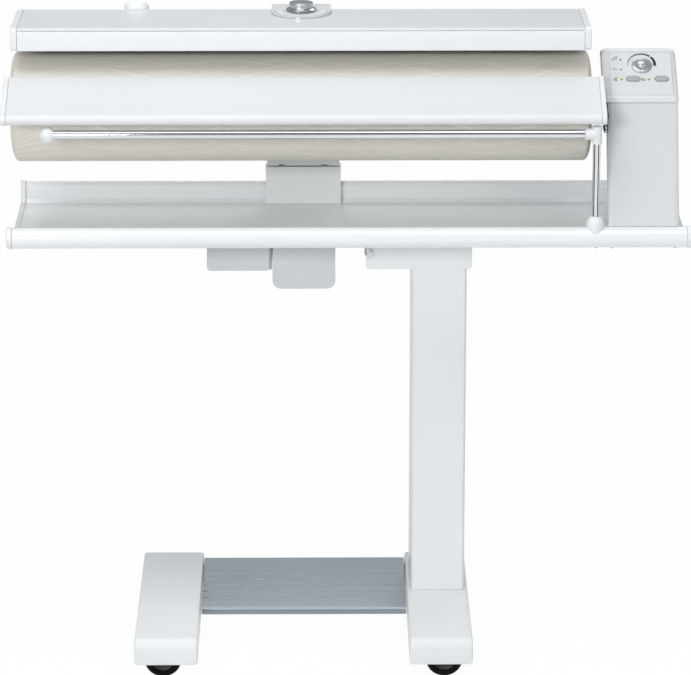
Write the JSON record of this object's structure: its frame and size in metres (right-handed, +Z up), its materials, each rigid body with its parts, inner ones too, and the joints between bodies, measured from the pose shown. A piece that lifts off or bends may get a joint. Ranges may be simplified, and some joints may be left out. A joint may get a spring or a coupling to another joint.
{
  "type": "flatwork ironer",
  "caption": "Household roller ironer on a folding wheeled pedestal: padded roller under a lifting heated shoe, laundry tray, feed plate, control tower, swivel rail and foot treadle.",
  "frame": {"origin": "on the floor, under the middle of the object's box", "axes": "+X along the roller towards the control tower, +Y away from the person who irons, +Z up"},
  "size_m": [0.984, 0.38, 0.9518],
  "materials": {
    "painted_steel": "smooth white powder coat",
    "painted_tray": "smooth white paint on sheet metal",
    "white_plastic": "satin white moulding",
    "grey_plastic": "fine-grained light grey moulding",
    "ironing_cloth": "tight woven beige cotton",
    "felt": "soft needled felt",
    "steel_parts": "brushed",
    "bright_chrome": "polished",
    "shoe_metal": "smooth satin",
    "treadle_metal": "ribbed, blue-grey satin",
    "silver_plastic": "silver lacquered",
    "black_rubber": "matt black",
    "dark_plastic": "matt dark",
    "motor_steel": "dark painted motor housing",
    "board": "green circuit board",
    "tank": "translucent milky"
  },
  "bodies": {
    "base": {"foot_left": "painted_steel", "foot_right": "painted_steel", "column": "painted_steel", "head_bracket": "painted_steel", "fold_pin": "bright_chrome", "crossbar": "painted_steel", "treadle_axle": "steel_parts", "treadle_spring": "steel_parts"},
    "upper_unit": {"tray": "painted_tray", "tray_cap_left": "white_plastic", "tray_cap_right": "white_plastic", "fold_yoke": "steel_parts", "lift_cover": "grey_plastic", "board_cover": "grey_plastic", "control_board": "board", "lift_actuator": "dark_plastic", "lift_fairing": "grey_plastic", "lift_pin": "steel_parts", "tower_shell": "white_plastic", "control_head": "white_plastic", "fascia_plate": "grey_plastic", "roller_bearing": "steel_parts", "drive_motor": "motor_steel", "drive_belt": "black_rubber", "cable_gland": "dark_plastic", "feed_plate": "painted_tray", "feed_cap_left": "white_plastic", "feed_cap_right": "white_plastic", "feed_bracket": "steel_parts", "rail_base": "white_plastic"},
    "laundry_rail": {"rail_post": "bright_chrome", "rail_elbow": "white_plastic", "rail_rod": "bright_chrome", "rail_ball": "white_plastic"},
    "roller": {"roller_shaft": "steel_parts", "roller_core": "steel_parts", "roller_padding": "felt", "roller_cloth": "ironing_cloth", "roller_pulley": "dark_plastic"},
    "motor_pulley": {"motor_pulley": "dark_plastic"},
    "press_head": {"pressing_arm": "painted_steel", "pressing_cover": "white_plastic", "cover_cap_left": "white_plastic", "cover_cap_right": "white_plastic", "pressing_shoe": "shoe_metal", "heating_element": "steel_parts", "water_tank": "tank", "dial_base": "grey_plastic"},
    "finger_guard": {"finger_guard": "white_plastic"},
    "steam_knob": {"steam_knob": "silver_plastic"},
    "filler_cap": {"filler_cap": "white_plastic"},
    "temperature_knob": {"temperature_knob": "silver_plastic"},
    "button_left": {"button_left": "silver_plastic"},
    "button_right": {"button_right": "silver_plastic"},
    "treadle": {"treadle_plate": "treadle_metal"},
    "wheel_front_left": {"wheel_front_left": "black_rubber"},
    "wheel_front_right": {"wheel_front_right": "black_rubber"},
    "wheel_rear_left": {"wheel_rear_left": "black_rubber"},
    "wheel_rear_right": {"wheel_rear_right": "black_rubber"}
  },
  "joints": [
    {"name": "fold_hinge", "type": "hinge", "parent": "base", "child": "upper_unit", "pos_m": [0.0329, 0.08, 0.591], "axis": [0, -1, 0], "range_deg": [0, 90]},
    {"name": "press_lift", "type": "hinge", "parent": "upper_unit", "child": "press_head", "pos_m": [-0.067, 0.178, 0.696], "axis": [1, 0, 0], "range_deg": [0, 4]},
    {"name": "finger_guard_swing", "type": "hinge", "parent": "press_head", "child": "finger_guard", "pos_m": [-0.067, -0.0317, 0.9317], "axis": [1, 0, 0], "range_deg": [0, 8], "stiffness_Nm_per_rad": 0.5, "springref_deg": -2.86},
    {"name": "roller_spin", "type": "hinge", "parent": "upper_unit", "child": "roller", "pos_m": [-0.067, 0.033, 0.8085], "axis": [1, 0, 0], "continuous": true},
    {"name": "motor_pulley_spin", "type": "hinge", "parent": "upper_unit", "child": "motor_pulley", "pos_m": [0.438, 0.033, 0.7], "axis": [1, 0, 0], "continuous": true},
    {"name": "rail_swivel", "type": "hinge", "parent": "upper_unit", "child": "laundry_rail", "pos_m": [0.3528, -0.108, 0.68], "axis": [0, 0, 1], "range_deg": [0, 90]},
    {"name": "steam_knob_turn", "type": "hinge", "parent": "press_head", "child": "steam_knob", "pos_m": [-0.067, 0.081, 0.9406], "axis": [0, 0, 1], "range_deg": [-75, 75]},
    {"name": "filler_cap_turn", "type": "hinge", "parent": "press_head", "child": "filler_cap", "pos_m": [-0.308, 0.126, 0.926], "axis": [0, 0.4226, 0.9063], "range_deg": [0, 90]},
    {"name": "temperature_knob_turn", "type": "hinge", "parent": "upper_unit", "child": "temperature_knob", "pos_m": [0.424, 0.00933, 0.87224], "axis": [0, 0.5736, -0.8192], "range_deg": [0, 180]},
    {"name": "button_left_press", "type": "slide", "parent": "upper_unit", "child": "button_left", "axis": [0, 0.5736, -0.8192], "range_m": [0, 0.002], "stiffness_N_per_m": 300, "springref_m": -0.001},
    {"name": "button_right_press", "type": "slide", "parent": "upper_unit", "child": "button_right", "axis": [0, 0.5736, -0.8192], "range_m": [0, 0.002], "stiffness_N_per_m": 300, "springref_m": -0.001},
    {"name": "treadle_tilt", "type": "hinge", "parent": "base", "child": "treadle", "pos_m": [-0.0657, 0.152, 0.05], "axis": [1, 0, 0], "range_deg": [0, 5], "stiffness_Nm_per_rad": 12, "springref_deg": -6.88},
    {"name": "wheel_front_left_spin", "type": "hinge", "parent": "base", "child": "wheel_front_left", "pos_m": [-0.2712, -0.164, 0.027], "axis": [0, 1, 0], "continuous": true},
    {"name": "wheel_front_right_spin", "type": "hinge", "parent": "base", "child": "wheel_front_right", "pos_m": [0.1399, -0.164, 0.027], "axis": [0, 1, 0], "continuous": true},
    {"name": "wheel_rear_left_spin", "type": "hinge", "parent": "base", "child": "wheel_rear_left", "pos_m": [-0.2712, 0.164, 0.027], "axis": [0, 1, 0], "continuous": true},
    {"name": "wheel_rear_right_spin", "type": "hinge", "parent": "base", "child": "wheel_rear_right", "pos_m": [0.1399, 0.164, 0.027], "axis": [0, 1, 0], "continuous": true}
  ],
  "couplings": [
    {"joint": "motor_pulley_spin", "follows": "roller_spin", "ratio": 2.7143}
  ]
}
